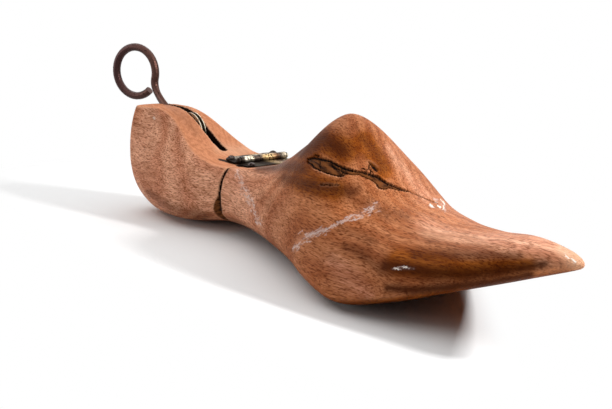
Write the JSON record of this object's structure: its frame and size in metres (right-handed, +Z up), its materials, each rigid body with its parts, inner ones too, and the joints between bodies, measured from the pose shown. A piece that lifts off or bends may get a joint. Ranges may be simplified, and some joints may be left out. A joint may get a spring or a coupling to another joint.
{
  "type": "hinged wooden shoe tree",
  "caption": "Pointed last-shaped shoe tree for a left shoe, with a heel block that folds up about a steel hinge and a wire ring to pull it by.",
  "frame": {"origin": "middle of the underside of the bounding box, in the plane that the tree stands on, with the heel block closed and the ring leaning back", "axes": "+X square to the hinge and towards the toe, +Y to the outer side of the left foot, +Z up"},
  "size_m": [0.2848, 0.0724, 0.086],
  "materials": {
    "beech": "aged, waxed and worn beech",
    "nickel_steel": "worn nickel plating with dark grime",
    "browned_steel": "dark purple-brown patina"
  },
  "bodies": {
    "fore": {"forepart": "beech", "hinge_leaf_fore": "nickel_steel", "hinge_pin": "nickel_steel", "hinge_screw_fore_inner": "nickel_steel", "hinge_screw_fore_outer": "nickel_steel"},
    "heel": {"heel_block": "beech", "hinge_leaf_heel": "nickel_steel", "hinge_screw_heel_inner": "nickel_steel", "hinge_screw_heel_outer": "nickel_steel", "handle_bracket": "nickel_steel", "handle_rivet": "nickel_steel", "bracket_screw_rear": "nickel_steel", "bracket_screw_front": "nickel_steel"},
    "handle": {"ring_handle": "browned_steel"}
  },
  "joints": [
    {"name": "heel_fold", "type": "hinge", "parent": "fore", "child": "heel", "pos_m": [-0.03676, 0.00985, 0.0334], "axis": [0, 1, 0], "range_deg": [0, 90]},
    {"name": "handle_swing", "type": "hinge", "parent": "heel", "child": "handle", "pos_m": [-0.08503, -0.00053, 0.041], "axis": [-0.1045, 0.9945, 0], "range_deg": [0, 60]}
  ]
}
